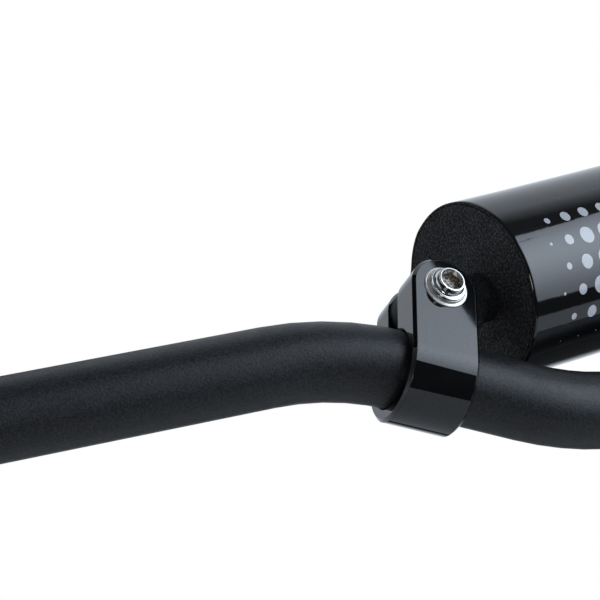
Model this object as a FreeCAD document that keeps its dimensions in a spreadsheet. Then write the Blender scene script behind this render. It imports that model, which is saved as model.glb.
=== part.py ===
import FreeCAD, Part
import math
import os

import Sketcher

# Motocross handlebar: a bent tube with a braced crossbar and a wrapped foam pad.
# The origin is on the tube's axis at the middle of the stem clamping section.
# X runs along the bar, Y towards the rider (the way the grips sweep) and Z up.

DRIVING_SIZES = {
    "bar_diameter": (22.2, "outside of the main tube"),
    "bar_wall": (4.0, "wall of the main tube"),
    "centre_length": (130.0, "straight section that the stem clamps"),
    "riser_angle": (30.8, "slope of the risers, degrees"),
    "lower_bend_radius": (84.0, "bend from the centre section into the riser"),
    "riser_length": (38.3, "straight part of the riser"),
    "upper_bend_radius": (94.0, "bend from the riser into the grip section"),
    "upsweep_angle": (8.25, "rise of the grip section, degrees"),
    "backsweep_angle": (8.3, "sweep of the grip section to the rider, degrees"),
    "grip_length": (220.0, "straight grip section"),
    "bar_end_chamfer": (0.8, "chamfer on the open ends of the tube"),
    "clamp_from_bend": (30.9, "lower bend to the middle of the clamp, along the riser"),
    "clamp_width": (20.0, "clamp along the riser"),
    "clamp_wall": (3.8, "wall of the clamp round the tube"),
    "clamp_bore_gap": (0.05, "radial gap between clamp and tube"),
    "back_ear": (8.5, "thickness of the ear that takes the bolt's thread"),
    "ear_root_round": (3.0, "hollow between the back ear and the ring"),
    "clamp_edge": (0.9, "broken outer edges of the clamp"),
    "clamp_rim": (0.5, "broken edge at the clamp's bore"),
    "bolt_above_bar": (9.6, "tube's surface to the bolt's axis"),
    "bolt_diameter": (6.0, "shank of the bolt"),
    "bolt_hole_gap": (0.3, "radial gap round the bolt in the front ear and the tongue"),
    "thread_gap": (0.1, "radial gap round the bolt in the back ear"),
    "bolt_tip_recess": (0.6, "back face of the clamp to the tip of the bolt"),
    "bolt_tip_chamfer": (0.7, "chamfer on the tip of the bolt"),
    "head_diameter": (7.9, "round part of the bolt's head"),
    "head_height": (3.0, "head of the bolt, above the washer"),
    "flange_diameter": (10.8, "flange under the bolt's head"),
    "flange_edge": (0.7, "thickness of the flange at its rim"),
    "flange_flare": (0.8, "height over which the flange runs up to the head"),
    "socket_flats": (5.0, "hexagon socket across its flats"),
    "socket_depth": (2.5, "hexagon socket from the top of the head"),
    "socket_mouth": (6.5, "diameter of the socket's countersink"),
    "washer_diameter": (13.2, "outside of the washer"),
    "washer_thickness": (1.3, "thickness of the washer"),
    "washer_edge": (0.4, "broken outer edges of the washer"),
    "crossbar_diameter": (14.0, "round part of the crossbar"),
    "crossbar_forward": (1.6, "crossbar's axis in front of the tube's axis"),
    "tongue_thickness": (6.3, "flattened ends of the crossbar"),
    "tongue_bar_gap": (0.3, "tongue to the tube's surface"),
    "tongue_past_clamp": (1.0, "flat of the tongue that stands out of the clamp"),
    "shoulder_length": (6.5, "crossbar from flat to round"),
    "pad_diameter": (53.8, "outside of the covered pad"),
    "pad_end": (21.0, "bolt's axis to the end of the pad"),
    "pad_rest_gap": (0.15, "ends of the pad to the bends that it lies on"),
    "pad_back": (3.1, "pad's axis behind the crossbar's axis"),
    "foam_bore_gap": (0.2, "radial gap between foam and crossbar"),
    "foam_slit": (0.8, "slit along the foam's back"),
    "cover_thickness": (0.7, "sheet wrapped round the foam"),
    "wrap_gap": (0.05, "gap between the layers of the wrap"),
    "overlap_length": (28.0, "overlap of the cover, round the pad"),
    "overlap_angle": (-5.0, "middle of the overlap, degrees above the rider's side"),
    "flap_step": (8.0, "cover's step out to the flap, round the pad"),
    "flap_ease": (4.0, "free flap between its step and the cover's inner edge"),
    "strip_thickness": (0.9, "each half of the touch fastener"),
    "strip_width": (20.0, "touch fastener, round the pad"),
    "strip_end": (9.0, "end of the pad to the end of the touch fastener"),
}

# Sizes that follow from the driving ones, as formulas of the same sheet.
DERIVED_SIZES = {
    "bar_radius": "bar_diameter / 2",
    "bar_bore_radius": "bar_radius - bar_wall",
    "bolt_height": "bar_radius + bolt_above_bar",
    "bolt_x": "centre_length / 2 + lower_bend_radius * sin(riser_angle)"
    " + clamp_from_bend * cos(riser_angle) - bolt_height * sin(riser_angle)",
    "bolt_z": "lower_bend_radius * (1 - cos(riser_angle))"
    " + clamp_from_bend * sin(riser_angle) + bolt_height * cos(riser_angle)",
    "clamp_bore_radius": "bar_radius + clamp_bore_gap",
    "ring_radius": "clamp_bore_radius + clamp_wall",
    "slot_front": "crossbar_forward + tongue_thickness / 2",
    "slot_back": "tongue_thickness / 2 - crossbar_forward",
    "back_face": "slot_back + back_ear",
    "ear_radius": "clamp_width / 2",
    "ear_top": "bolt_height + ear_radius",
    "corner_reach": "ear_radius + clamp_edge",
    "corner_top": "ear_top + clamp_edge",
    "bolt_radius": "bolt_diameter / 2",
    "bolt_hole_radius": "bolt_radius + bolt_hole_gap",
    "thread_radius": "bolt_radius + thread_gap",
    "bolt_length": "washer_thickness + ring_radius + back_face - bolt_tip_recess",
    "bolt_tip_radius": "bolt_radius - bolt_tip_chamfer",
    "bolt_tip_start": "bolt_length - bolt_tip_chamfer",
    "head_radius": "head_diameter / 2",
    "flange_radius": "flange_diameter / 2",
    "flange_top": "flange_edge + flange_flare",
    "socket_radius": "socket_flats / 2",
    "socket_corner": "socket_radius / cos(30)",
    "socket_mouth_radius": "socket_mouth / 2",
    "socket_floor": "head_height - socket_depth",
    "socket_cone": "head_height - socket_mouth_radius + socket_radius",
    "washer_radius": "washer_diameter / 2",
    "crossbar_radius": "crossbar_diameter / 2",
    "tongue_radius": "bolt_above_bar - tongue_bar_gap",
    "tongue_half": "tongue_thickness / 2",
    "tongue_reach": "ear_radius / cos(riser_angle) + tongue_past_clamp",
    "tongue_inner": "bolt_x - tongue_reach",
    "round_half": "tongue_inner - shoulder_length",
    "round_length": "2 * round_half",
    "pad_length": "2 * (bolt_x - pad_end)",
    "cover_outer": "pad_diameter / 2",
    "bend_hollow": "lower_bend_radius - bar_radius",
    "pad_past_bend": "pad_length / 2 - centre_length / 2",
    "bend_top": "lower_bend_radius - sqrt(bend_hollow ^ 2 - pad_past_bend ^ 2)",
    "pad_lift": "bend_top + pad_rest_gap + cover_outer - bolt_z",
    "cover_inner": "cover_outer - cover_thickness",
    "foam_radius": "cover_inner - wrap_gap",
    "foam_bore": "crossbar_radius + foam_bore_gap",
    "slit_top": "pad_lift - foam_slit / 2",
    "slit_bottom": "pad_lift + foam_slit / 2",
    "loop_inner": "cover_outer + wrap_gap",
    "loop_outer": "loop_inner + strip_thickness",
    "hook_inner": "loop_outer + wrap_gap",
    "hook_outer": "hook_inner + strip_thickness",
    "flap_inner": "hook_outer + wrap_gap",
    "flap_outer": "flap_inner + cover_thickness",
    "degrees_per_length": "180 / pi / cover_outer",
    "inner_edge_angle": "overlap_angle + overlap_length / 2 * degrees_per_length",
    "flap_edge_angle": "overlap_angle - overlap_length / 2 * degrees_per_length",
    "flap_angle": "inner_edge_angle + flap_ease * degrees_per_length",
    "step_angle": "flap_angle + flap_step * degrees_per_length",
    "strip_low_angle": "overlap_angle - strip_width / 2 * degrees_per_length",
    "strip_high_angle": "overlap_angle + strip_width / 2 * degrees_per_length",
    "strip_length": "pad_length - 2 * strip_end",
}

START, END, CENTRE = range(1, 4)
ROOT, X_AXIS, Y_AXIS = -1, -1, -2
FULL_TURN = 2 * math.pi
HEXAGON = 6
# Two lengths in millimetres closer than this are the same.
CLOSE = 1e-4
# Left and right are the rider's.
SIDES = {"left": 1, "right": -1}

doc = FreeCAD.newDocument("handlebar")
sheet = doc.addObject("Spreadsheet::Sheet", "sizes")
row = 0
for alias, (value, meaning) in DRIVING_SIZES.items():
    row += 1
    sheet.set(f"A{row}", meaning)
    sheet.set(f"B{row}", str(value))
    sheet.setAlias(f"B{row}", alias)
for alias, formula in DERIVED_SIZES.items():
    row += 1
    sheet.set(f"A{row}", alias.replace("_", " "))
    sheet.set(f"B{row}", "=" + formula)
    sheet.setAlias(f"B{row}", alias)
doc.recompute()


def size(alias):
    return float(sheet.get(alias))


def new_body(name):
    body = doc.addObject("PartDesign::Body", name)
    body.Label = name
    return body


def own_plane(body, role):
    return next(item for item in body.Origin.OriginFeatures if item.Role == role)


def new_sketch(body, role, name, offset=None):
    """A sketch on one of the body's own planes, moved along its normal by a size of the sheet."""
    sketch = body.newObject("Sketcher::SketchObject", name)
    sketch.AttachmentSupport = [(own_plane(body, role), "")]
    sketch.MapMode = "FlatFace"
    if offset:
        sketch.setExpression("AttachmentOffset.Base.z", "sizes." + offset)
    return sketch


def bind(sketch, kind, *where, to, sign=1):
    """A dimension of a sketch that takes its value from the sheet."""
    degrees = kind == "Angle"
    value = sign * size(to)
    start_value = math.radians(value) if degrees else value
    number = sketch.addConstraint(Sketcher.Constraint(kind, *where, start_value))
    unit = " * 1 deg" if degrees else ""
    sketch.setExpression(f"Constraints[{number}]", f"{sign} * sizes.{to}{unit}")


def line(sketch, start, end, construction=False):
    start_point = FreeCAD.Vector(start[0], start[1], 0)
    end_point = FreeCAD.Vector(end[0], end[1], 0)
    return sketch.addGeometry(Part.LineSegment(start_point, end_point), construction)


def circle(sketch, radius, centre=(0, 0)):
    """A circle whose radius is a size of the sheet."""
    middle = FreeCAD.Vector(centre[0], centre[1], 0)
    number = sketch.addGeometry(Part.Circle(middle, FreeCAD.Vector(0, 0, 1), size(radius)))
    bind(sketch, "Radius", number, to=radius)
    return number


def arc(sketch, radius, start, end, centre=(0, 0)):
    """An anticlockwise arc between two directions in radians, with its radius from the sheet."""
    middle = FreeCAD.Vector(centre[0], centre[1], 0)
    full = Part.Circle(middle, FreeCAD.Vector(0, 0, 1), size(radius))
    number = sketch.addGeometry(Part.ArcOfCircle(full, start, end))
    bind(sketch, "Radius", number, to=radius)
    return number


def constrain(sketch, kind, *where):
    sketch.addConstraint(Sketcher.Constraint(kind, *where))


def join(sketch, *ends):
    """Joins pairs of end points: (geometry, end, geometry, end)."""
    for first, first_end, second, second_end in ends:
        constrain(sketch, "Coincident", first, first_end, second, second_end)


def chain(sketch, lines):
    """Joins lines into a closed loop, each line's end to the next one's start."""
    for number, following in zip(lines, lines[1:] + lines[:1]):
        constrain(sketch, "Coincident", number, END, following, START)


def polar(radius, angle):
    return (radius * math.cos(angle), radius * math.sin(angle))


def symmetric_pad(body, sketch, length, name):
    pad = body.newObject("PartDesign::Pad", name)
    pad.Profile = sketch
    pad.SideType = "Symmetric"
    pad.setExpression("Length", "sizes." + length)
    return pad


def through_pocket(body, sketch, name, side_type="Symmetric", reversed_way=False):
    pocket = body.newObject("PartDesign::Pocket", name)
    pocket.Profile = sketch
    pocket.Type = "ThroughAll"
    pocket.SideType = side_type
    pocket.Reversed = reversed_way
    return pocket


def edge_names(feature, wanted):
    """Names of the feature's edges that pass a test."""
    return [f"Edge{number}" for number, edge in enumerate(feature.Shape.Edges, 1) if wanted(edge)]


def dress_edges(body, kind, base, wanted, amount, name):
    """A Fillet or Chamfer on the base feature's edges that pass a test."""
    doc.recompute()
    feature = body.newObject("PartDesign::" + kind, name)
    feature.Base = (base, edge_names(base, wanted))
    feature.setExpression("Radius" if kind == "Fillet" else "Size", "sizes." + amount)
    doc.recompute()
    return feature


def near(value, target):
    return abs(value - target) < CLOSE


def make_bar():
    """The main tube: a ring section swept along straight runs and tangent arcs, bent in two planes."""
    slope = math.radians(size("riser_angle"))
    rise = math.radians(size("upsweep_angle"))
    sweep = math.radians(size("backsweep_angle"))
    lower = size("lower_bend_radius")
    along_riser = FreeCAD.Vector(math.cos(slope), 0, math.sin(slope))
    along_grip = FreeCAD.Vector(
        math.cos(rise) * math.cos(sweep), math.cos(rise) * math.sin(sweep), math.sin(rise)
    )
    bend_start = FreeCAD.Vector(size("centre_length") / 2, 0, 0)
    bend_middle = bend_start + FreeCAD.Vector(
        lower * math.sin(slope / 2), 0, lower * (1 - math.cos(slope / 2))
    )
    bend_end = bend_start + FreeCAD.Vector(lower * math.sin(slope), 0, lower * (1 - math.cos(slope)))
    upper_start = bend_end + along_riser * size("riser_length")
    turn = along_riser.getAngle(along_grip)
    tangent = size("upper_bend_radius") * math.tan(turn / 2)
    corner = upper_start + along_riser * tangent
    upper_end = corner + along_grip * tangent
    inward = (along_grip - along_riser).normalize()
    sagitta = size("upper_bend_radius") * (1 / math.cos(turn / 2) - 1)
    upper_middle = corner + inward * sagitta
    grip_end = upper_end + along_grip * size("grip_length")

    def other_side(point):
        return FreeCAD.Vector(-point.x, point.y, point.z)

    left_half = [
        Part.Arc(bend_start, bend_middle, bend_end).toShape(),
        Part.makeLine(bend_end, upper_start),
        Part.Arc(upper_start, upper_middle, upper_end).toShape(),
        Part.makeLine(upper_end, grip_end),
    ]
    right_half = [
        Part.makeLine(other_side(grip_end), other_side(upper_end)),
        Part.Arc(other_side(upper_end), other_side(upper_middle), other_side(upper_start)).toShape(),
        Part.makeLine(other_side(upper_start), other_side(bend_end)),
        Part.Arc(other_side(bend_end), other_side(bend_middle), other_side(bend_start)).toShape(),
    ]
    centre = [Part.makeLine(other_side(bend_start), bend_start)]
    centreline = doc.addObject("Part::Feature", "bar_centreline")
    centreline.Shape = Part.Wire(right_half + centre + left_half)
    runs = [f"Edge{number}" for number in range(1, len(centreline.Shape.Edges) + 1)]
    inboard = other_side(upper_end) - other_side(grip_end)
    section_place = FreeCAD.Placement(
        other_side(grip_end), FreeCAD.Rotation(FreeCAD.Vector(0, 0, 1), inboard)
    )

    def swept(name, radius):
        section = doc.addObject("Part::Circle", name + "_section")
        section.setExpression("Radius", "sizes." + radius)
        section.Placement = section_place
        sweep_feature = doc.addObject("Part::Sweep", name)
        sweep_feature.Sections = [section]
        sweep_feature.Spine = (centreline, runs)
        sweep_feature.Solid = True
        sweep_feature.Frenet = True
        return sweep_feature

    tube = doc.addObject("Part::Cut", "bar_bored")
    tube.Base = swept("bar_outside", "bar_radius")
    tube.Tool = swept("bar_inside", "bar_bore_radius")
    doc.recompute()

    def at_end(edge):
        if not isinstance(edge.Curve, Part.Circle):
            return False
        middle = edge.Curve.Center
        return near((middle - grip_end).Length, 0) or near((middle - other_side(grip_end)).Length, 0)

    ends = [number for number, edge in enumerate(tube.Shape.Edges, 1) if at_end(edge)]
    bar = doc.addObject("Part::Chamfer", "bar_tube")
    bar.Label = "bar_tube"
    bar.Base = tube
    bar.Edges = [(number, size("bar_end_chamfer"), size("bar_end_chamfer")) for number in ends]
    return bar


def make_clamp(side):
    """A crossbar clamp, drawn across the tube: local X is the row's Y, local Y stands off the tube."""
    body = new_body("crossbar_clamp_" + side)
    ring = size("ring_radius")
    bore = size("clamp_bore_radius")
    front = -size("slot_front")
    back = size("slot_back")
    back_face = size("back_face")
    top = size("ear_top")
    front_meets_bore = math.acos(front / bore)
    back_meets_bore = math.acos(back / bore)
    back_meets_ring = math.acos(back_face / ring)

    profile = new_sketch(body, "XY_Plane", "clamp_profile")
    front_face = line(profile, (-ring, 0), (-ring, top))
    front_top = line(profile, (-ring, top), (front, top))
    slot_front = line(profile, (front, top), polar(bore, front_meets_bore))
    bore_arc = arc(profile, "clamp_bore_radius", front_meets_bore, back_meets_bore + FULL_TURN)
    slot_back = line(profile, polar(bore, back_meets_bore), (back, top))
    back_top = line(profile, (back, top), (back_face, top))
    rear_face = line(profile, (back_face, top), polar(ring, back_meets_ring))
    ring_arc = arc(profile, "ring_radius", math.pi, back_meets_ring + FULL_TURN)
    join(
        profile,
        (front_face, END, front_top, START),
        (front_top, END, slot_front, START),
        (slot_front, END, bore_arc, START),
        (bore_arc, END, slot_back, START),
        (slot_back, END, back_top, START),
        (back_top, END, rear_face, START),
        (rear_face, END, ring_arc, END),
        (ring_arc, START, front_face, START),
        (bore_arc, CENTRE, ROOT, START),
        (ring_arc, CENTRE, ROOT, START),
    )
    for upright in (front_face, slot_front, slot_back, rear_face):
        constrain(profile, "Vertical", upright)
    for level in (front_top, back_top):
        constrain(profile, "Horizontal", level)
    constrain(profile, "PointOnObject", front_face, START, X_AXIS)
    bind(profile, "DistanceX", slot_front, START, ROOT, START, to="slot_front")
    bind(profile, "DistanceX", ROOT, START, slot_back, START, to="slot_back")
    bind(profile, "DistanceX", ROOT, START, rear_face, START, to="back_face")
    bind(profile, "DistanceY", ROOT, START, front_top, START, to="ear_top")
    bind(profile, "DistanceY", ROOT, START, back_top, START, to="ear_top")
    symmetric_pad(body, profile, "clamp_width", "clamp_block")

    # The ears' tops are full rounds about the bolt, cut through both ears from the side.
    reach = size("corner_reach")
    half = size("ear_radius")
    high = size("corner_top")
    axis = size("bolt_height")
    arch = new_sketch(body, "YZ_Plane", "ear_arch")
    round_top = arc(arch, "ear_radius", -math.pi / 2, math.pi / 2, (axis, 0))
    outline = [
        line(arch, (axis, half), (axis, reach)),
        line(arch, (axis, reach), (high, reach)),
        line(arch, (high, reach), (high, -reach)),
        line(arch, (high, -reach), (axis, -reach)),
        line(arch, (axis, -reach), (axis, -half)),
    ]
    for number, following in zip(outline, outline[1:]):
        constrain(arch, "Coincident", number, END, following, START)
    join(arch, (round_top, END, outline[0], START), (outline[4], END, round_top, START))
    constrain(arch, "PointOnObject", round_top, CENTRE, X_AXIS)
    for upright in (outline[0], outline[2], outline[4]):
        constrain(arch, "Vertical", upright)
    for level in (outline[1], outline[3]):
        constrain(arch, "Horizontal", level)
    bind(arch, "DistanceX", ROOT, START, round_top, CENTRE, to="bolt_height")
    bind(arch, "DistanceX", ROOT, START, outline[0], START, to="bolt_height")
    bind(arch, "DistanceX", ROOT, START, outline[4], START, to="bolt_height")
    bind(arch, "DistanceX", ROOT, START, outline[2], START, to="corner_top")
    bind(arch, "DistanceY", ROOT, START, outline[2], START, to="corner_reach")
    bind(arch, "DistanceY", outline[2], END, ROOT, START, to="corner_reach")
    through_pocket(body, arch, "ear_tops")

    def bolt_hole(radius, name, reversed_way):
        hole = new_sketch(body, "YZ_Plane", name + "_circle")
        ring_line = circle(hole, radius, (axis, 0))
        constrain(hole, "PointOnObject", ring_line, CENTRE, X_AXIS)
        bind(hole, "DistanceX", ROOT, START, ring_line, CENTRE, to="bolt_height")
        return through_pocket(body, hole, name, "One side", reversed_way)

    bolt_hole("bolt_hole_radius", "bolt_hole", False)
    last = bolt_hole("thread_radius", "thread_hole", True)
    doc.recompute()

    def at_ear_root(edge):
        box = edge.BoundBox
        return near(box.XMin, back_face) and near(box.XMax, back_face) and near(
            edge.CenterOfMass.y, ring * math.sin(back_meets_ring)
        )

    last = dress_edges(body, "Fillet", last, at_ear_root, "ear_root_round", "ear_root")
    half_width = size("clamp_width") / 2

    def on_side_face(box):
        return near(box.ZMin, box.ZMax) and near(abs(box.ZMin), half_width)

    def on_outside(edge):
        box = edge.BoundBox
        arched = near(box.XMin, box.XMax) and (near(box.XMin, -ring) or near(box.XMin, back_face))
        if arched and box.YMax > axis - CLOSE and box.ZLength > half_width:
            return True
        if not on_side_face(box):
            return False
        middle = edge.valueAt((edge.FirstParameter + edge.LastParameter) / 2)
        in_slot = near(box.XMin, box.XMax) and (near(box.XMin, front) or near(box.XMin, back))
        return not in_slot and math.hypot(middle.x, middle.y) > bore + CLOSE

    def on_bore_rim(edge):
        box = edge.BoundBox
        return on_side_face(box) and isinstance(edge.Curve, Part.Circle) and near(edge.Curve.Radius, bore)

    last = dress_edges(body, "Chamfer", last, on_outside, "clamp_edge", "outer_edges")
    dress_edges(body, "Chamfer", last, on_bore_rim, "clamp_rim", "bore_rims")
    body.Placement = clamp_place(side)
    return body


def clamp_place(side):
    """Local X along the row's Y, local Y off the tube, local Z along the riser."""
    slope = math.radians(size("riser_angle"))
    hand = SIDES[side]
    off_tube = FreeCAD.Vector(-hand * math.sin(slope), 0, math.cos(slope))
    across = FreeCAD.Vector(0, 1, 0)
    middle = bolt_point(side) - off_tube * size("bolt_height")
    turned = FreeCAD.Rotation(across, off_tube, across.cross(off_tube), "ZXY")
    return FreeCAD.Placement(middle, turned)


def bolt_point(side):
    """The bolt's axis in the plane of the tube's axis."""
    return FreeCAD.Vector(SIDES[side] * size("bolt_x"), 0, size("bolt_z"))


def make_washer(side):
    body = new_body("clamp_washer_" + side)
    rings = new_sketch(body, "XY_Plane", "washer_rings")
    for radius in ("washer_radius", "bolt_hole_radius"):
        join(rings, (circle(rings, radius), CENTRE, ROOT, START))
    pad = body.newObject("PartDesign::Pad", "washer_disc")
    pad.Profile = rings
    pad.setExpression("Length", "sizes.washer_thickness")

    def outer(edge):
        return isinstance(edge.Curve, Part.Circle) and near(edge.Curve.Radius, size("washer_radius"))

    dress_edges(body, "Chamfer", pad, outer, "washer_edge", "washer_edges")
    seat = bolt_point(side) - FreeCAD.Vector(0, size("ring_radius"), 0)
    body.Placement = FreeCAD.Placement(seat, towards_front())
    return body


def towards_front():
    """Turns local Z to the front of the bar."""
    return FreeCAD.Rotation(FreeCAD.Vector(0, 0, 1), FreeCAD.Vector(0, -1, 0))


def make_bolt(side):
    """A flanged socket bolt, turned about local Z with its seat at the local origin."""
    body = new_body("clamp_bolt_" + side)
    turned = new_sketch(body, "XZ_Plane", "bolt_profile")
    # Each corner: radius and height, with the sign of the height.
    corners = [
        (None, "bolt_length", -1),
        ("bolt_tip_radius", "bolt_length", -1),
        ("bolt_radius", "bolt_tip_start", -1),
        ("bolt_radius", None, 1),
        ("flange_radius", None, 1),
        ("flange_radius", "flange_edge", 1),
        ("head_radius", "flange_top", 1),
        ("head_radius", "head_height", 1),
        ("socket_mouth_radius", "head_height", 1),
        ("socket_radius", "socket_cone", 1),
        ("socket_radius", "socket_floor", 1),
        (None, "socket_floor", 1),
    ]

    def spot(corner):
        radius, height, sign = corner
        return (size(radius) if radius else 0, sign * size(height) if height else 0)

    sides = [line(turned, spot(a), spot(b)) for a, b in zip(corners, corners[1:] + corners[:1])]
    chain(turned, sides)
    for number, (radius, height, sign) in zip(sides, corners):
        if radius:
            bind(turned, "DistanceX", ROOT, START, number, START, to=radius)
        else:
            constrain(turned, "PointOnObject", number, START, Y_AXIS)
        if height:
            bind(turned, "DistanceY", ROOT, START, number, START, to=height, sign=sign)
        else:
            constrain(turned, "PointOnObject", number, START, X_AXIS)
    lathe = body.newObject("PartDesign::Revolution", "bolt_turned")
    lathe.Profile = turned
    lathe.ReferenceAxis = (turned, ["V_Axis"])
    lathe.Angle = math.degrees(FULL_TURN)

    hexagon = new_sketch(body, "XY_Plane", "socket_hexagon", offset="head_height")
    radius = size("socket_corner")
    points = [polar(radius, FULL_TURN * step / HEXAGON) for step in range(HEXAGON)]
    flats = [line(hexagon, a, b) for a, b in zip(points, points[1:] + points[:1])]
    chain(hexagon, flats)
    guide = circle(hexagon, "socket_corner")
    hexagon.toggleConstruction(guide)
    join(hexagon, (guide, CENTRE, ROOT, START))
    for flat in flats:
        constrain(hexagon, "PointOnObject", flat, START, guide)
    for flat in flats[1:]:
        constrain(hexagon, "Equal", flats[0], flat)
    constrain(hexagon, "PointOnObject", flats[0], START, X_AXIS)
    socket = body.newObject("PartDesign::Pocket", "bolt_socket")
    socket.Profile = hexagon
    socket.setExpression("Length", "sizes.socket_depth")
    seat = bolt_point(side) - FreeCAD.Vector(0, size("ring_radius") + size("washer_thickness"), 0)
    body.Placement = FreeCAD.Placement(seat, towards_front())
    return body


def make_crossbar():
    """The brace between the clamps: a round rod pressed flat at both ends, with an eye for each bolt."""
    body = new_body("crossbar")
    section = new_sketch(body, "YZ_Plane", "rod_section")
    join(section, (circle(section, "crossbar_radius"), CENTRE, ROOT, START))
    symmetric_pad(body, section, "round_length", "rod")

    round_end = new_sketch(body, "YZ_Plane", "shoulder_round", offset="round_half")
    join(round_end, (circle(round_end, "crossbar_radius"), CENTRE, ROOT, START))
    flat_end = new_sketch(body, "YZ_Plane", "shoulder_flat", offset="tongue_inner")
    pressed_section(flat_end)
    shoulder = body.newObject("PartDesign::AdditiveLoft", "shoulder")
    shoulder.Profile = round_end
    shoulder.Sections = [flat_end]

    outline = new_sketch(body, "XZ_Plane", "tongue_outline")
    inner = size("tongue_inner")
    axis = size("bolt_x")
    half = size("tongue_radius")
    lower = line(outline, (inner, -half), (axis, -half))
    tip = arc(outline, "tongue_radius", -math.pi / 2, math.pi / 2, (axis, 0))
    upper = line(outline, (axis, half), (inner, half))
    closing = line(outline, (inner, half), (inner, -half))
    constrain(outline, "Tangent", lower, END, tip, START)
    constrain(outline, "Tangent", tip, END, upper, START)
    join(outline, (upper, END, closing, START), (closing, END, lower, START))
    constrain(outline, "PointOnObject", tip, CENTRE, X_AXIS)
    constrain(outline, "Horizontal", lower)
    constrain(outline, "Vertical", closing)
    bind(outline, "DistanceX", ROOT, START, tip, CENTRE, to="bolt_x")
    bind(outline, "DistanceX", ROOT, START, closing, START, to="tongue_inner")
    symmetric_pad(body, outline, "tongue_thickness", "tongue")

    eye = new_sketch(body, "XZ_Plane", "eye_circle")
    ring_line = circle(eye, "bolt_hole_radius", (axis, 0))
    constrain(eye, "PointOnObject", ring_line, CENTRE, X_AXIS)
    bind(eye, "DistanceX", ROOT, START, ring_line, CENTRE, to="bolt_x")
    through_pocket(body, eye, "eye")
    doc.recompute()
    both_ends = body.newObject("PartDesign::Mirrored", "both_ends")
    both_ends.TransformMode = "Whole shape"
    both_ends.MirrorPlane = (own_plane(body, "YZ_Plane"), [""])
    body.Tip = both_ends
    body.Placement.Base = crossbar_axis()
    return body


def crossbar_axis():
    return FreeCAD.Vector(0, -size("crossbar_forward"), size("bolt_z"))


def pad_axis():
    return crossbar_axis() + FreeCAD.Vector(0, size("pad_back"), size("pad_lift"))


def pressed_section(sketch):
    """The pressed end's section: the tongue's thickness by its width."""
    half_x = size("tongue_half")
    half_y = size("tongue_radius")
    corners = [(half_x, half_y), (-half_x, half_y), (-half_x, -half_y), (half_x, -half_y)]
    sides = [line(sketch, a, b) for a, b in zip(corners, corners[1:] + corners[:1])]
    chain(sketch, sides)
    for level in (sides[0], sides[2]):
        constrain(sketch, "Horizontal", level)
    for upright in (sides[1], sides[3]):
        constrain(sketch, "Vertical", upright)
    bind(sketch, "DistanceX", ROOT, START, sides[0], START, to="tongue_half")
    bind(sketch, "DistanceX", sides[2], START, ROOT, START, to="tongue_half")
    bind(sketch, "DistanceY", ROOT, START, sides[0], START, to="tongue_radius")
    bind(sketch, "DistanceY", sides[2], START, ROOT, START, to="tongue_radius")


def make_foam():
    """The round foam pad, bored off its middle for the crossbar and slit from the bore to its back."""
    body = new_body("pad_foam")
    radius = size("foam_radius")
    bore = size("foam_bore")
    bore_middle = (-size("pad_back"), -size("pad_lift"))
    top = -size("slit_top")
    bottom = -size("slit_bottom")
    at_bore = bore_middle[0] + math.sqrt(bore ** 2 - (size("foam_slit") / 2) ** 2)
    half_slit = math.asin(size("foam_slit") / 2 / bore)

    section = new_sketch(body, "YZ_Plane", "foam_section")
    outside = arc(section, "foam_radius", math.asin(top / radius), math.asin(bottom / radius) + FULL_TURN)
    lower = line(section, (math.sqrt(radius ** 2 - bottom ** 2), bottom), (at_bore, bottom))
    inside = arc(section, "foam_bore", half_slit, FULL_TURN - half_slit, bore_middle)
    upper = line(section, (at_bore, top), (math.sqrt(radius ** 2 - top ** 2), top))
    join(
        section,
        (outside, END, lower, START),
        (lower, END, inside, END),
        (inside, START, upper, START),
        (upper, END, outside, START),
        (outside, CENTRE, ROOT, START),
    )
    for level in (lower, upper):
        constrain(section, "Horizontal", level)
    bind(section, "DistanceX", ROOT, START, inside, CENTRE, to="pad_back", sign=-1)
    bind(section, "DistanceY", ROOT, START, inside, CENTRE, to="pad_lift", sign=-1)
    bind(section, "DistanceY", ROOT, START, upper, START, to="slit_top", sign=-1)
    bind(section, "DistanceY", ROOT, START, lower, START, to="slit_bottom", sign=-1)
    symmetric_pad(body, section, "pad_length", "foam")
    body.Placement.Base = pad_axis()
    return body


def ray(sketch, angle, far, *near_ends):
    """A construction line from the middle, at an angle of the sheet, through the given end points."""
    geometry, end = far
    point = sketch.getPoint(geometry, end)
    number = line(sketch, (0, 0), (point.x, point.y), True)
    join(sketch, (number, START, ROOT, START), (number, END, geometry, end))
    bind(sketch, "Angle", number, to=angle)
    for geometry, end in near_ends:
        constrain(sketch, "PointOnObject", geometry, end, number)


def band(sketch, inner, outer, low, high, turns=0):
    """Two concentric arcs between two angles of the sheet, the second one whole turns further on."""
    start = math.radians(size(low))
    end = math.radians(size(high)) + turns * FULL_TURN
    arcs = [arc(sketch, radius, start, end) for radius in (inner, outer)]
    for number in arcs:
        join(sketch, (number, CENTRE, ROOT, START))
    return arcs


def bridge(sketch, first, second):
    """A line between two end points, each given as (geometry, end)."""
    points = [sketch.getPoint(*first), sketch.getPoint(*second)]
    number = line(sketch, (points[0].x, points[0].y), (points[1].x, points[1].y))
    join(sketch, (number, START, *first), (number, END, *second))


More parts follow.
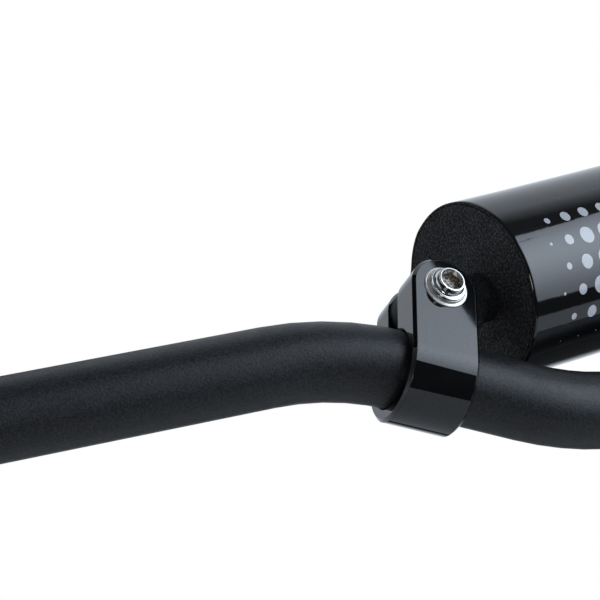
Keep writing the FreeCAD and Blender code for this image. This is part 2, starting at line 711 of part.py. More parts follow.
def make_cover():
    """The sheet round the foam: nearly a full turn, then a step out to the flap that overlaps its start."""
    body = new_body("pad_cover")
    wrap = new_sketch(body, "YZ_Plane", "wrap_section")
    inside, outside = band(wrap, "cover_inner", "cover_outer", "step_angle", "inner_edge_angle", turns=1)
    flap_inside, flap_outside = band(wrap, "flap_inner", "flap_outer", "flap_edge_angle", "flap_angle")
    bridge(wrap, (inside, END), (outside, END))
    bridge(wrap, (inside, START), (flap_inside, END))
    bridge(wrap, (outside, START), (flap_outside, END))
    bridge(wrap, (flap_inside, START), (flap_outside, START))
    ray(wrap, "inner_edge_angle", (outside, END), (inside, END))
    ray(wrap, "step_angle", (outside, START), (inside, START))
    ray(wrap, "flap_angle", (flap_outside, END), (flap_inside, END))
    ray(wrap, "flap_edge_angle", (flap_outside, START), (flap_inside, START))
    symmetric_pad(body, wrap, "pad_length", "cover")
    body.Placement.Base = pad_axis()
    return body


def make_strip(half):
    """One half of the touch fastener, a curved strip between the cover and its flap."""
    body = new_body(f"pad_{half}_strip")
    section = new_sketch(body, "YZ_Plane", half + "_section")
    radii = (half + "_inner", half + "_outer")
    inside, outside = band(section, *radii, "strip_low_angle", "strip_high_angle")
    bridge(section, (inside, START), (outside, START))
    bridge(section, (inside, END), (outside, END))
    ray(section, "strip_low_angle", (outside, START), (inside, START))
    ray(section, "strip_high_angle", (outside, END), (inside, END))
    symmetric_pad(body, section, "strip_length", half + "_strip")
    body.Placement.Base = pad_axis()
    return body


def both_sides(name, make_fastener):
    """The like fasteners of the two clamps, as one group of separate solids."""
    group = doc.addObject("Part::Compound", name)
    group.Label = name
    group.Links = [make_fastener(side) for side in SIDES]
    return group


sub_parts = [make_bar(), make_crossbar(), make_foam(), make_cover()]
for half in ("loop", "hook"):
    sub_parts.append(make_strip(half))
for side in SIDES:
    sub_parts.append(make_clamp(side))
sub_parts.append(both_sides("clamp_washers", make_washer))
sub_parts.append(both_sides("clamp_bolts", make_bolt))
doc.recompute()

for item in doc.Objects:
    if "Invalid" in item.State or "Error" in item.State:
        raise RuntimeError(f"{item.Label} did not build: {item.State}")
for part in sub_parts:
    if part.Shape.isNull() or not part.Shape.isValid():
        raise RuntimeError(f"{part.Label} has no valid shape")

os.makedirs("parts", exist_ok=True)
for part in sub_parts:
    part.Shape.exportStep(f"parts/{part.Label}.step")
    print(part.Label, len(part.Shape.Solids), round(part.Shape.Volume, 1))
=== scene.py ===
# %% [markdown]
# A handlebar for an off-road motorcycle: a bent black tube, a brace rod held in two bolted
# clamps, and a round foam pad in a glossy cover. The hard pieces come from the CAD frame, which
# is loaded first and never moved. This lesson gives them their finishes and makes the soft pad.

# %% Load the frame
import math
import bpy
import bmesh
from mathutils import Matrix, Vector, noise


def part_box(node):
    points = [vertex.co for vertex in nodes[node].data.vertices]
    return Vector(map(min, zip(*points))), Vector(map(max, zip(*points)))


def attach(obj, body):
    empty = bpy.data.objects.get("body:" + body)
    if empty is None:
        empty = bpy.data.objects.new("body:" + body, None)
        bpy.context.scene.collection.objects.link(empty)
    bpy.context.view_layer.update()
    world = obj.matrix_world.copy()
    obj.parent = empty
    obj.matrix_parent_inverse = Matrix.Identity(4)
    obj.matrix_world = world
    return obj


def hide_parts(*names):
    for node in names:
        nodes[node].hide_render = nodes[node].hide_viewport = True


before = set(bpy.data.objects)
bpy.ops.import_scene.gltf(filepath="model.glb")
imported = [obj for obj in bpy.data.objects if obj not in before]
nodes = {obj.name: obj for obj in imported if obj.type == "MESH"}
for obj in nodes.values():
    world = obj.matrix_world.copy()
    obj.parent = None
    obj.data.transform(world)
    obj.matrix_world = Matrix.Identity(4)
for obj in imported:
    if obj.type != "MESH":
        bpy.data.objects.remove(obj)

MM = 0.001
scene = bpy.context.scene
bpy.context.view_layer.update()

# %% [markdown]
# A photograph is matched by its camera: where it stands, where it looks and how long its lens
# is. This one stands low on the front right, looks up past the clamp and is rolled, so that the
# tube runs level through the frame. The lens follows from the focal length in pixels.

# %% The camera
IMAGE_WIDTH = 600
FOCAL_PIXELS = 2218.5
SENSOR_WIDTH = 36.0
CAMERA_PLACE = Vector((-505.1, -456.0, -153.8)) * MM
LOOK_ALONG = Vector((0.5665, 0.7460, 0.3500)).normalized()
ROLL = math.radians(29.65)

level = LOOK_ALONG.cross(Vector((0, 0, 1))).normalized()
upright = level.cross(LOOK_ALONG)
camera_up = upright * math.cos(ROLL) + level * math.sin(ROLL)
camera_right = LOOK_ALONG.cross(camera_up)

lens = bpy.data.cameras.new("photo_camera")
lens.sensor_width = SENSOR_WIDTH
lens.lens = FOCAL_PIXELS * SENSOR_WIDTH / IMAGE_WIDTH
camera = bpy.data.objects.new("photo_camera", lens)
turn = Matrix((camera_right, camera_up, -LOOK_ALONG)).transposed()
camera.matrix_world = Matrix.Translation(CAMERA_PLACE) @ turn.to_4x4()
scene.collection.objects.link(camera)
scene.camera = camera
scene.view_settings.view_transform = "Standard"
print("camera lens:", round(lens.lens, 1), "mm")

# %% [markdown]
# Gloss black shows little colour of its own: what one sees is the room. The room is a white
# sweep behind the bar and a dark studio in front of it. A world shader can hold both, by how far
# a direction points to the front and how far it drops below the horizon. The camera sees plain
# white wherever it looks past the bar.

# %% The room
DARK_SIDE = Vector((0.0, -1.0, -0.4))
WHITE_LEVEL = 0.92
WHITE_UNTIL = -0.07
DARK_FROM = 0.25
DARK_LEVEL = 0.10
BELOW_LEVEL = 0.05
ABOVE_LEVEL = 1.0
HORIZON = (-0.2, 0.05)
ROOM_TINT = (0.92, 1.0, 1.10, 1.0)
WHITE = (1.0, 1.0, 1.0, 1.0)


def link(tree, source, target):
    tree.links.new(source, target)


def map_range(tree, value, start, end, low, high):
    """A node that runs from low to high while a value runs from start to end."""
    node = tree.nodes.new("ShaderNodeMapRange")
    for title, number in (("From Min", start), ("From Max", end), ("To Min", low), ("To Max", high)):
        node.inputs[title].default_value = number
    link(tree, value, node.inputs["Value"])
    return node


world = bpy.data.worlds.new("studio")
scene.world = world
world.use_nodes = True
room = world.node_tree
room.nodes.clear()
direction = room.nodes.new("ShaderNodeTexCoord")
forward_part = room.nodes.new("ShaderNodeVectorMath")
forward_part.operation = "DOT_PRODUCT"
forward_part.inputs[1].default_value = DARK_SIDE
axes = room.nodes.new("ShaderNodeSeparateXYZ")
link(room, direction.outputs["Generated"], forward_part.inputs[0])
link(room, direction.outputs["Generated"], axes.inputs["Vector"])
to_front = map_range(room, forward_part.outputs["Value"], WHITE_UNTIL, DARK_FROM, WHITE_LEVEL, DARK_LEVEL)
over_horizon = map_range(room, axes.outputs["Z"], *HORIZON, BELOW_LEVEL, ABOVE_LEVEL)
room_light = room.nodes.new("ShaderNodeMath")
room_light.operation = "MINIMUM"
link(room, to_front.outputs["Result"], room_light.inputs[0])
link(room, over_horizon.outputs["Result"], room_light.inputs[1])

studio = room.nodes.new("ShaderNodeBackground")
studio.inputs["Color"].default_value = ROOM_TINT
backdrop = room.nodes.new("ShaderNodeBackground")
backdrop.inputs["Color"].default_value = WHITE
rays = room.nodes.new("ShaderNodeLightPath")
seen = room.nodes.new("ShaderNodeMixShader")
room_out = room.nodes.new("ShaderNodeOutputWorld")
link(room, room_light.outputs["Value"], studio.inputs["Strength"])
link(room, rays.outputs["Is Camera Ray"], seen.inputs["Fac"])
link(room, studio.outputs["Background"], seen.inputs[1])
link(room, backdrop.outputs["Background"], seen.inputs[2])
link(room, seen.outputs["Shader"], room_out.inputs["Surface"])
print("room: white behind at", WHITE_LEVEL, "and dark in front at", DARK_LEVEL)

# %% [markdown]
# The main light is a large soft box at the camera's right. A real one is brighter in its middle,
# and that shows in the pad's gloss. A glowing sheet with a brightness that falls off from its hot
# spot can do this, where a plain area lamp would be even.

# %% The soft box
BOX_AIM = Vector((-110, -20, 40)) * MM
BOX_DIRECTION = Vector((0.655, -0.739, -0.160)).normalized()
BOX_DISTANCE = 0.9
BOX_WIDTH = 0.92
BOX_HEIGHT = 1.12
BOX_TINT = (0.88, 1.0, 1.15, 1.0)
HOT_LEVEL = 5.1
EDGE_LEVEL = 1.9
HOT_SPOT = Vector((-0.02, 0.13, 0.0))
FALL_OFF = 0.70


def flat_sheet(name, corners, finish, seen_by_camera=False):
    """A flat piece of the studio with one finish."""
    mesh = bpy.data.meshes.new(name)
    mesh.from_pydata(corners, [], [tuple(range(len(corners)))])
    mesh.materials.append(finish)
    sheet = bpy.data.objects.new(name, mesh)
    sheet.visible_camera = seen_by_camera
    scene.collection.objects.link(sheet)
    return sheet


def rectangle(half_width, half_height):
    """The corners of an upright rectangle about the origin."""
    signs = ((-1, -1), (1, -1), (1, 1), (-1, 1))
    return [(half_width * side, half_height * up, 0) for side, up in signs]


glow = bpy.data.materials.new("soft_box_glow")
glow.use_nodes = True
tree = glow.node_tree
tree.nodes.clear()
where = tree.nodes.new("ShaderNodeTexCoord")
from_hot = tree.nodes.new("ShaderNodeVectorMath")
from_hot.operation = "DISTANCE"
from_hot.inputs[1].default_value = HOT_SPOT
link(tree, where.outputs["Object"], from_hot.inputs[0])
strength = map_range(tree, from_hot.outputs["Value"], 0.0, FALL_OFF, HOT_LEVEL, EDGE_LEVEL)
strength.interpolation_type = "SMOOTHSTEP"
emission = tree.nodes.new("ShaderNodeEmission")
emission.inputs["Color"].default_value = BOX_TINT
glow_out = tree.nodes.new("ShaderNodeOutputMaterial")
link(tree, strength.outputs["Result"], emission.inputs["Strength"])
link(tree, emission.outputs["Emission"], glow_out.inputs["Surface"])

soft_box = flat_sheet("soft_box", rectangle(BOX_WIDTH / 2, BOX_HEIGHT / 2), glow)
box_up = (camera_up - BOX_DIRECTION * camera_up.dot(BOX_DIRECTION)).normalized()
box_side = box_up.cross(-BOX_DIRECTION)
box_turn = Matrix((box_side, box_up, -BOX_DIRECTION)).transposed()
box_place = BOX_AIM + BOX_DIRECTION * BOX_DISTANCE
soft_box.matrix_world = Matrix.Translation(box_place) @ box_turn.to_4x4()
print("soft box at", [round(v, 2) for v in box_place])

# %% [markdown]
# Black flags shape what the gloss mirrors. A narrow one on the soft box keeps the clamp's top
# corner dark, a board overhead does the same for its broken edges, and one behind the bar takes
# some of the white off the tube's top. A small white card near the camera lights the washer's rim.

# %% Flags and a card
FLAG_BLACK = (0.01, 0.01, 0.01, 1.0)
FLAG_CORNERS = ((-0.0825, 0.438), (-0.0985, 0.525), (-0.128, 0.525), (-0.128, 0.438))
FLAG_OFF_BOX = 0.004
CLAMP_AIM = Vector((-124, -15, 45)) * MM
TOP_FLAG_DIRECTION = Vector((-0.337, -0.307, 0.889)).normalized()
TOP_FLAG_DISTANCE = 0.5
TOP_FLAG_HALF = 0.13
BACK_FLAG_X = (-60 * MM, 110 * MM)
BACK_FLAG_Y = 300 * MM
BACK_FLAG_Z = (350 * MM, 650 * MM)
CARD_DIRECTION = Vector((-0.60, -0.70, -0.42)).normalized()
CARD_DISTANCE = 0.8
CARD_HALF = 0.10
CARD_LEVEL = 5.0

cloth_black = bpy.data.materials.new("flag_black")
cloth_black.use_nodes = True
cloth_black.node_tree.nodes["Principled BSDF"].inputs["Base Color"].default_value = FLAG_BLACK
card_white = bpy.data.materials.new("card_white")
card_white.use_nodes = True
card_shader = card_white.node_tree.nodes["Principled BSDF"]
card_shader.inputs["Emission Color"].default_value = WHITE
card_shader.inputs["Emission Strength"].default_value = CARD_LEVEL


def square_board(name, direction, distance, half, finish):
    """A square board that faces the right clamp from one direction."""
    board = flat_sheet(name, rectangle(half, half), finish)
    board_turn = direction.to_track_quat("Z", "Y").to_matrix()
    board.matrix_world = Matrix.Translation(CLAMP_AIM + direction * distance) @ board_turn.to_4x4()
    return board


flag = flat_sheet("black_flag", [(side, up, FLAG_OFF_BOX) for side, up in FLAG_CORNERS], cloth_black)
flag.matrix_world = soft_box.matrix_world
top_flag = square_board("top_flag", TOP_FLAG_DIRECTION, TOP_FLAG_DISTANCE, TOP_FLAG_HALF, cloth_black)
fill_card = square_board("fill_card", CARD_DIRECTION, CARD_DISTANCE, CARD_HALF, card_white)
(near, far), (low, high) = BACK_FLAG_X, BACK_FLAG_Z
back_corners = [(x, BACK_FLAG_Y, z) for x, z in ((near, low), (far, low), (far, high), (near, high))]
back_flag = flat_sheet("back_flag", back_corners, cloth_black)
print("flags:", flag.name, top_flag.name, back_flag.name, "and a card at level", CARD_LEVEL)

# %% [markdown]
# The camera looks up, so the floor is below the view and shows only as a pale reflection under
# the clamp and the pad. Its front edge is close to the bar: past it the gloss turns dark. To the
# camera the paper is lifted to the backdrop's white.

# %% The floor
FLOOR_HEIGHT = -0.45
FLOOR_FRONT = (Vector((-0.195, -0.216)), Vector((0.327, -0.154)))
FLOOR_LEFT = 0.40
FLOOR_RIGHT = 0.42
FLOOR_DEPTH = 1.6
PAPER_COLOUR = (0.72, 0.72, 0.72, 1.0)
PAPER_ROUGHNESS = 0.9
PAPER_LIFT = 0.6

paper = bpy.data.materials.new("floor_paper")
paper.use_nodes = True
tree = paper.node_tree
shader = tree.nodes["Principled BSDF"]
shader.inputs["Base Color"].default_value = PAPER_COLOUR
shader.inputs["Roughness"].default_value = PAPER_ROUGHNESS
shader.inputs["Emission Color"].default_value = WHITE
rays = tree.nodes.new("ShaderNodeLightPath")
lift = tree.nodes.new("ShaderNodeMath")
lift.operation = "MULTIPLY"
lift.inputs[1].default_value = PAPER_LIFT
link(tree, rays.outputs["Is Camera Ray"], lift.inputs[0])
link(tree, lift.outputs["Value"], shader.inputs["Emission Strength"])

run = (FLOOR_FRONT[1] - FLOOR_FRONT[0]).normalized()
middle = (FLOOR_FRONT[0] + FLOOR_FRONT[1]) / 2
back = Vector((-run.y, run.x))
floor_corners = [
    middle - run * FLOOR_LEFT,
    middle + run * FLOOR_RIGHT,
    middle + run * FLOOR_RIGHT + back * FLOOR_DEPTH,
    middle - run * FLOOR_LEFT + back * FLOOR_DEPTH,
]
floor = flat_sheet("floor", [(c.x, c.y, FLOOR_HEIGHT) for c in floor_corners], paper, seen_by_camera=True)
print("floor at", FLOOR_HEIGHT, "m")

# %% [markdown]
# Most finishes here share one effect: a fine grain with a slower mottling over it, as blasting,
# polishing and casting leave. It is a node group, so each material sets its own grain size. The
# group only puts out values, and the shader stays in the material.

# %% A grain that the finishes share
GRAIN_DETAIL = 3.0
MOTTLE_DETAIL = 2.0

grain_group = bpy.data.node_groups.new("fine_grain", "ShaderNodeTree")
for title, way in (
    ("Grain Scale", "INPUT"),
    ("Mottle Scale", "INPUT"),
    ("Grain", "OUTPUT"),
    ("Mottle", "OUTPUT"),
):
    grain_group.interface.new_socket(name=title, in_out=way, socket_type="NodeSocketFloat")
group_in = grain_group.nodes.new("NodeGroupInput")
group_out = grain_group.nodes.new("NodeGroupOutput")
spot = grain_group.nodes.new("ShaderNodeTexCoord")
for title, detail in (("Grain", GRAIN_DETAIL), ("Mottle", MOTTLE_DETAIL)):
    texture = grain_group.nodes.new("ShaderNodeTexNoise")
    texture.inputs["Detail"].default_value = detail
    link(grain_group, spot.outputs["Object"], texture.inputs["Vector"])
    link(grain_group, group_in.outputs[title + " Scale"], texture.inputs["Scale"])
    link(grain_group, texture.outputs["Fac"], group_out.inputs[title])
print("group:", grain_group.name)

# %% [markdown]
# A finish uses the grain for its colour, its roughness and its relief. Noise mostly stays near its
# middle, so the usual spread of its values is stretched between the two ends of a finish. Sizes
# and depths are in millimetres here, as a maker would give them.

# %% Helpers for the finishes
USUAL_SPREAD = (0.3, 0.7)
PLAIN_SPECULAR = 0.5


def new_finish(name):
    """A material with its Principled shader, ready for nodes."""
    finish = bpy.data.materials.new(name)
    finish.use_nodes = True
    return finish, finish.node_tree, finish.node_tree.nodes["Principled BSDF"]


def add_grain(tree, grain_size, mottle_size):
    """The shared grain, with the size of its grains and mottles in millimetres."""
    grain = tree.nodes.new("ShaderNodeGroup")
    grain.node_tree = grain_group
    grain.inputs["Grain Scale"].default_value = 1 / (grain_size * MM)
    grain.inputs["Mottle Scale"].default_value = 1 / (mottle_size * MM)
    return grain


def vary(tree, value, target, low, high):
    """Spreads a value that varies over the surface between two levels of a socket."""
    span = map_range(tree, value, *USUAL_SPREAD, low, high)
    link(tree, span.outputs["Result"], target)


def tint(tree, value, target, at_low, at_high, between=USUAL_SPREAD):
    """Runs from one colour to another by a value that varies over the surface."""
    ramp = tree.nodes.new("ShaderNodeValToRGB")
    for stop, place, colour in zip(ramp.color_ramp.elements, between, (at_low, at_high)):
        stop.position = place
        stop.color = (*colour, 1.0)
    link(tree, value, ramp.inputs["Fac"])
    link(tree, ramp.outputs["Color"], target)


def raise_grain(tree, shader, height, depth):
    """Turns a height, with its depth in millimetres, into the surface's relief."""
    bump = tree.nodes.new("ShaderNodeBump")
    bump.inputs["Strength"].default_value = 1.0
    bump.inputs["Distance"].default_value = depth * MM
    link(tree, height, bump.inputs["Height"])
    link(tree, bump.outputs["Normal"], shader.inputs["Normal"])
    return bump


def cell_pattern(tree, cell_size):
    """The distance from the middle of small cells, with their size in millimetres."""
    place = tree.nodes.new("ShaderNodeTexCoord")
    cells = tree.nodes.new("ShaderNodeTexVoronoi")
    cells.inputs["Scale"].default_value = 1 / (cell_size * MM)
    link(tree, place.outputs["Object"], cells.inputs["Vector"])
    return cells.outputs["Distance"]


def grained_finish(name, grain_size, mottle_size, dark, light, roughness, relief,
                   colour_by="Grain", roughness_by="Mottle", between=USUAL_SPREAD,
                   metallic=0.0, specular=PLAIN_SPECULAR):
    """A finish whose colour, roughness and relief all follow the shared grain."""
    finish, tree, shader = new_finish(name)
    grain = add_grain(tree, grain_size, mottle_size)
    tint(tree, grain.outputs[colour_by], shader.inputs["Base Color"], dark, light, between)
    vary(tree, grain.outputs[roughness_by], shader.inputs["Roughness"], *roughness)
    shader.inputs["Metallic"].default_value = metallic
    shader.inputs["Specular IOR Level"].default_value = specular
    raise_grain(tree, shader, grain.outputs["Grain"], relief)
    return finish


print("the grain is stretched from", USUAL_SPREAD[0], "to", USUAL_SPREAD[1])

# %% [markdown]
# The tube is blasted with fine beads and anodised black: satin, with a grain that one can just
# see and a cool cast. The brace rod is duller, and about as dark as the foam that it runs into.

# %% Satin and dull black
satin = grained_finish(
    "satin_black_anodised", grain_size=0.6, mottle_size=4.0,
    dark=(0.0005, 0.0005, 0.0006), light=(0.019, 0.020, 0.0225), between=(0.34, 0.70),
    roughness=(0.42, 0.48), specular=0.32, relief=0.06)
dull = grained_finish(
    "dull_black_anodised", grain_size=0.6, mottle_size=4.0,
    dark=(0.004, 0.004, 0.0045), light=(0.036, 0.037, 0.040),
    roughness=(0.58, 0.66), specular=0.12, relief=0.05)
print("finishes:", satin.name, dull.name)

# %% [markdown]
# The clamps are machined, polished and coated in gloss black. The coat is nearly flat and shows
# the lights crisply, with a slight unevenness. It also rounds the edges a little, which a bevel
# in the shading can show.

# %% Gloss black for the clamps
EDGE_RADIUS = 0.2 * MM

gloss, tree, shader = new_finish("gloss_black_coat")
grain = add_grain(tree, grain_size=0.5, mottle_size=6.0)
tint(tree, grain.outputs["Mottle"], shader.inputs["Base Color"],
     at_low=(0.0022, 0.0022, 0.0026), at_high=(0.0042, 0.0042, 0.0048))
vary(tree, grain.outputs["Grain"], shader.inputs["Roughness"], low=0.02, high=0.032)
vary(tree, grain.outputs["Grain"], shader.inputs["Specular IOR Level"], low=0.44, high=0.56)
relief = raise_grain(tree, shader, grain.outputs["Mottle"], depth=0.002)
edges = tree.nodes.new("ShaderNodeBevel")
edges.inputs["Radius"].default_value = EDGE_RADIUS
link(tree, edges.outputs["Normal"], relief.inputs["Normal"])
print("finish:", gloss.name)

# %% [markdown]
# The bolt is plated and polished. The washer is plain satin steel, which is warmer. The plating
# hardly reaches into the bolt's socket, so its walls and floor are darker, browner and blotched.

# %% Steel for the fasteners
polish = grained_finish(
    "polished_plating", grain_size=0.4, mottle_size=3.0, metallic=1.0,
    dark=(0.52, 0.515, 0.51), light=(0.60, 0.595, 0.59), colour_by="Mottle",
    roughness=(0.08, 0.14), roughness_by="Grain", relief=0.002)
steel = grained_finish(
    "satin_steel", grain_size=0.12, mottle_size=2.0, metallic=1.0,
    dark=(0.45, 0.43, 0.40), light=(0.60, 0.58, 0.545),
    roughness=(0.32, 0.42), relief=0.004)
bare = grained_finish(
    "bare_socket", grain_size=0.3, mottle_size=0.7, metallic=0.4,
    dark=(0.03, 0.026, 0.022), light=(0.40, 0.36, 0.31), between=(0.38, 0.62), colour_by="Mottle",
    roughness=(0.28, 0.45), roughness_by="Grain", relief=0.01)
print("finishes:", polish.name, steel.name, bare.name)

# %% [markdown]
# The foam is cut across its cells: a black face full of tiny pits, with lighter cell walls here
# and there. A cell pattern gives the pits, and the grain gives the lighter flecks.

# %% Cut foam
FOAM_SPECULAR = 0.3

foam_cut, tree, shader = new_finish("cut_foam")
grain = add_grain(tree, grain_size=0.7, mottle_size=5.0)
tint(tree, grain.outputs["Grain"], shader.inputs["Base Color"],
     at_low=(0.005, 0.005, 0.0055), at_high=(0.072, 0.073, 0.078), between=(0.47, 0.72))
vary(tree, grain.outputs["Mottle"], shader.inputs["Roughness"], low=0.75, high=0.95)
raise_grain(tree, shader, cell_pattern(tree, cell_size=0.6), depth=0.3)
shader.inputs["Specular IOR Level"].default_value = FOAM_SPECULAR
print("finish:", foam_cut.name)

# %% [markdown]
# The touch fastener between the cover and its flap is a pile of tiny loops and hooks: rough, matt
# and black. The same kind of cells, raised in their middles, makes its tufts. The colour follows
# the cells too: painted shade, darker in the low gaps between the tufts than on their middles.

# %% Pile of the touch fastener
PILE_ROUGHNESS = 0.9
PILE_SHEEN = 0.3

pile, tree, shader = new_finish("touch_fastener_pile")
tufts_and_gap_shade = cell_pattern(tree, cell_size=0.6)
# Painted shade: the tint runs from the tufts' raised middles to darker gaps between them.
tint(tree, tufts_and_gap_shade, shader.inputs["Base Color"],
     at_low=(0.022, 0.022, 0.024), at_high=(0.006, 0.006, 0.007), between=(0.1, 0.6))
shader.inputs["Roughness"].default_value = PILE_ROUGHNESS
shader.inputs["Sheen Weight"].default_value = PILE_SHEEN
raise_grain(tree, shader, tufts_and_gap_shade, depth=-0.3)
print("finish:", pile.name)

# %% [markdown]
# The pad's middle, length and radius are read from the frame, so that its print and its soft
# pieces follow the CAD model.

# %% The places of the pad
foam_low, foam_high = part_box("pad_foam")
pad_middle = (foam_low + foam_high) / 2
pad_half = (foam_high.x - foam_low.x) / 2
foam_radius = (foam_high.z - foam_low.z) / 2
print("pad half length", round(pad_half / MM, 2), "mm, foam radius", round(foam_radius / MM, 2), "mm")

# %% [markdown]
# A plain print of round, light grey dots lies on the front of the cover, and the dots shrink
# towards the print's edges. They are worked out from the place along the pad and the angle round
# it, so they need no picture and no unwrapped map. Each dot sits in a cell, and every second row
# of cells is shifted by half a cell.

# %% A print of dots
DOT_PITCH = 7.0 * MM
DOT_RADIUS = 2.4 * MM
PRINT_HALF_LENGTH = 94.0 * MM
PRINT_FADE = 16.0 * MM
PRINT_MIDDLE = math.radians(-24)
PRINT_HALF_ANGLE = math.radians(48)
ANGLE_FADE = math.radians(24)
HALF_CELL = 0.5

dots_round = round(math.tau * foam_radius / DOT_PITCH)


def dot_print(tree):
    """The mask of the print: one on a dot, nothing beside it."""
    def work_out(operation, *values):
        step = tree.nodes.new("ShaderNodeMath")
        step.operation = operation
        for number, value in enumerate(values):
            if isinstance(value, (int, float)):
                step.inputs[number].default_value = value
            else:
                link(tree, value, step.inputs[number])
        return step.outputs["Value"]

    place = tree.nodes.new("ShaderNodeTexCoord")
    parts = tree.nodes.new("ShaderNodeSeparateXYZ")
    link(tree, place.outputs["Object"], parts.inputs["Vector"])
    before = work_out("SUBTRACT", pad_middle.y, parts.outputs["Y"])
    above = work_out("SUBTRACT", parts.outputs["Z"], pad_middle.z)
    angle = work_out("ARCTAN2", above, before)

    along = work_out("DIVIDE", parts.outputs["X"], DOT_PITCH)
    around = work_out("MULTIPLY", angle, dots_round / math.tau)
    row = work_out("FLOOR", around)
    odd_row = work_out("MODULO", work_out("ABSOLUTE", row), 2.0)
    shifted = work_out("ADD", along, work_out("MULTIPLY", odd_row, HALF_CELL))
    cell_along = work_out("SUBTRACT", work_out("FRACT", shifted), HALF_CELL)
    cell_around = work_out("SUBTRACT", work_out("FRACT", around), HALF_CELL)
    squares = [work_out("POWER", offset, 2.0) for offset in (cell_along, cell_around)]
    from_dot = work_out("SQRT", work_out("ADD", *squares))

    dot_along = work_out("ABSOLUTE", work_out("SUBTRACT", along, cell_along))
    length_left = work_out("SUBTRACT", PRINT_HALF_LENGTH / DOT_PITCH, dot_along)
    end_share = work_out("DIVIDE", length_left, PRINT_FADE / DOT_PITCH)
    row_angle = work_out("MULTIPLY", work_out("ADD", row, HALF_CELL), math.tau / dots_round)
    off_middle = work_out("ABSOLUTE", work_out("SUBTRACT", row_angle, PRINT_MIDDLE))
    angle_left = work_out("SUBTRACT", PRINT_HALF_ANGLE, off_middle)
    side_share = work_out("DIVIDE", angle_left, ANGLE_FADE)
    share = work_out("MINIMUM", work_out("MINIMUM", end_share, side_share), 1.0)
    reach = work_out("MULTIPLY", share, DOT_RADIUS / DOT_PITCH)
    return work_out("GREATER_THAN", reach, from_dot)


print("room for", dots_round, "rows of dots round the pad")

# %% [markdown]
# The cover is a glossy black film. It lies on soft foam, so its gloss ripples a little. The print
# is under the same gloss, so it only changes the colour.

# %% Glossy film
PRINT_COLOUR = (0.42, 0.43, 0.45, 1.0)
FILM_COLOUR = (0.0035, 0.0036, 0.004, 1.0)

film, tree, shader = new_finish("gloss_film")
ink = tree.nodes.new("ShaderNodeMix")
ink.data_type = "RGBA"
ink.inputs["A"].default_value = FILM_COLOUR
ink.inputs["B"].default_value = PRINT_COLOUR
link(tree, dot_print(tree), ink.inputs["Factor"])
link(tree, ink.outputs["Result"], shader.inputs["Base Color"])
grain = add_grain(tree, grain_size=1.2, mottle_size=9.0)
vary(tree, grain.outputs["Grain"], shader.inputs["Roughness"], low=0.05, high=0.09)
raise_grain(tree, shader, grain.outputs["Mottle"], depth=0.06)
print("finish:", film.name)

# %% [markdown]
# The tube, the brace rod and the clamps have their true shape in the CAD model, so they only get
# finishes. Each CAD face brings its own edge points. A weld joins them, and an edge split then
# keeps the real edges crisp, so that the round walls shade without seams. Weighting the normals
# by area keeps the flat faces flat where they run into a round.

# %% Finishes on the CAD pieces
WELD_DISTANCE = 0.002 * MM
CRISP_ANGLE = math.radians(24)
FLATS_WEIGHT = 100


def finish_node(name, finish):
    node = nodes[name]
    node.data.materials.clear()
    node.data.materials.append(finish)
    node.data.polygons.foreach_set("use_smooth", [True] * len(node.data.polygons))
    weld = node.modifiers.new("joined_faces", "WELD")
    weld.merge_threshold = WELD_DISTANCE
    split = node.modifiers.new("crisp_edges", "EDGE_SPLIT")
    split.split_angle = CRISP_ANGLE
    flats = node.modifiers.new("true_flats", "WEIGHTED_NORMAL")
    flats.weight = FLATS_WEIGHT


for name, finish in (
    ("bar_tube", satin),
    ("crossbar", dull),
    ("crossbar_clamp_left", gloss),
    ("crossbar_clamp_right", gloss),
):
    finish_node(name, finish)
    print("finished", name)

# %% [markdown]
# A new piece is built as a mesh from a formula for its points, then smoothed up to a chosen
# angle, put in the place of its CAD node, which is hidden, and given its finish.

# %% Helpers for new pieces
SMOOTH_ANGLE = math.radians(35)
JOIN_DISTANCE = 0.001 * MM


def new_piece(name, mesh, finish, replaced):
    mesh.polygons.foreach_set("use_smooth", [True] * len(mesh.polygons))
    mesh.set_sharp_from_angle(angle=SMOOTH_ANGLE)
    mesh.materials.append(finish)
    piece = bpy.data.objects.new(name, mesh)
    scene.collection.objects.link(piece)
    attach(piece, "root")
    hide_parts(replaced)
    print(name, "with", len(mesh.polygons), "faces for", replaced)
    return piece


def add_grid(work, across, along, point):
    """Adds a sheet of squares whose corners are point(i, j)."""
    corners = [[work.verts.new(point(i, j)) for j in range(along + 1)] for i in range(across + 1)]
    for i in range(across):
        for j in range(along):
            work.faces.new((corners[i][j], corners[i + 1][j], corners[i + 1][j + 1], corners[i][j + 1]))


def finished_mesh(work, name):
    """Joins the sheets' meeting edges, turns all faces outwards and makes the mesh."""
    bmesh.ops.remove_doubles(work, verts=work.verts, dist=JOIN_DISTANCE)
    bmesh.ops.recalc_face_normals(work, faces=work.faces)
    mesh = bpy.data.meshes.new(name)
    work.to_mesh(mesh)
    work.free()
    return mesh


print("new pieces are smooth up to", round(math.degrees(SMOOTH_ANGLE)), "degrees")

# %% [markdown]
# Bolts and washers are turned parts. A profile of radius and height, swept once round, is how a
# lathe makes them. The edges that a lathe breaks are short arcs in the profile. Corners are
# rounded from the last to the first, so that the numbers of the others still hold.

# %% Turned fasteners
TURN_STEPS = 96
ARC_STEPS = 5

washer_low, washer_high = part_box("clamp_washers")
bolt_low, bolt_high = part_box("clamp_bolts")
washer_thickness = washer_high.y - washer_low.y
washer_radius = (washer_high.z - washer_low.z) / 2
bolt_z = (washer_high.z + washer_low.z) / 2
bolt_places = [washer_low.x + washer_radius, washer_high.x - washer_radius]


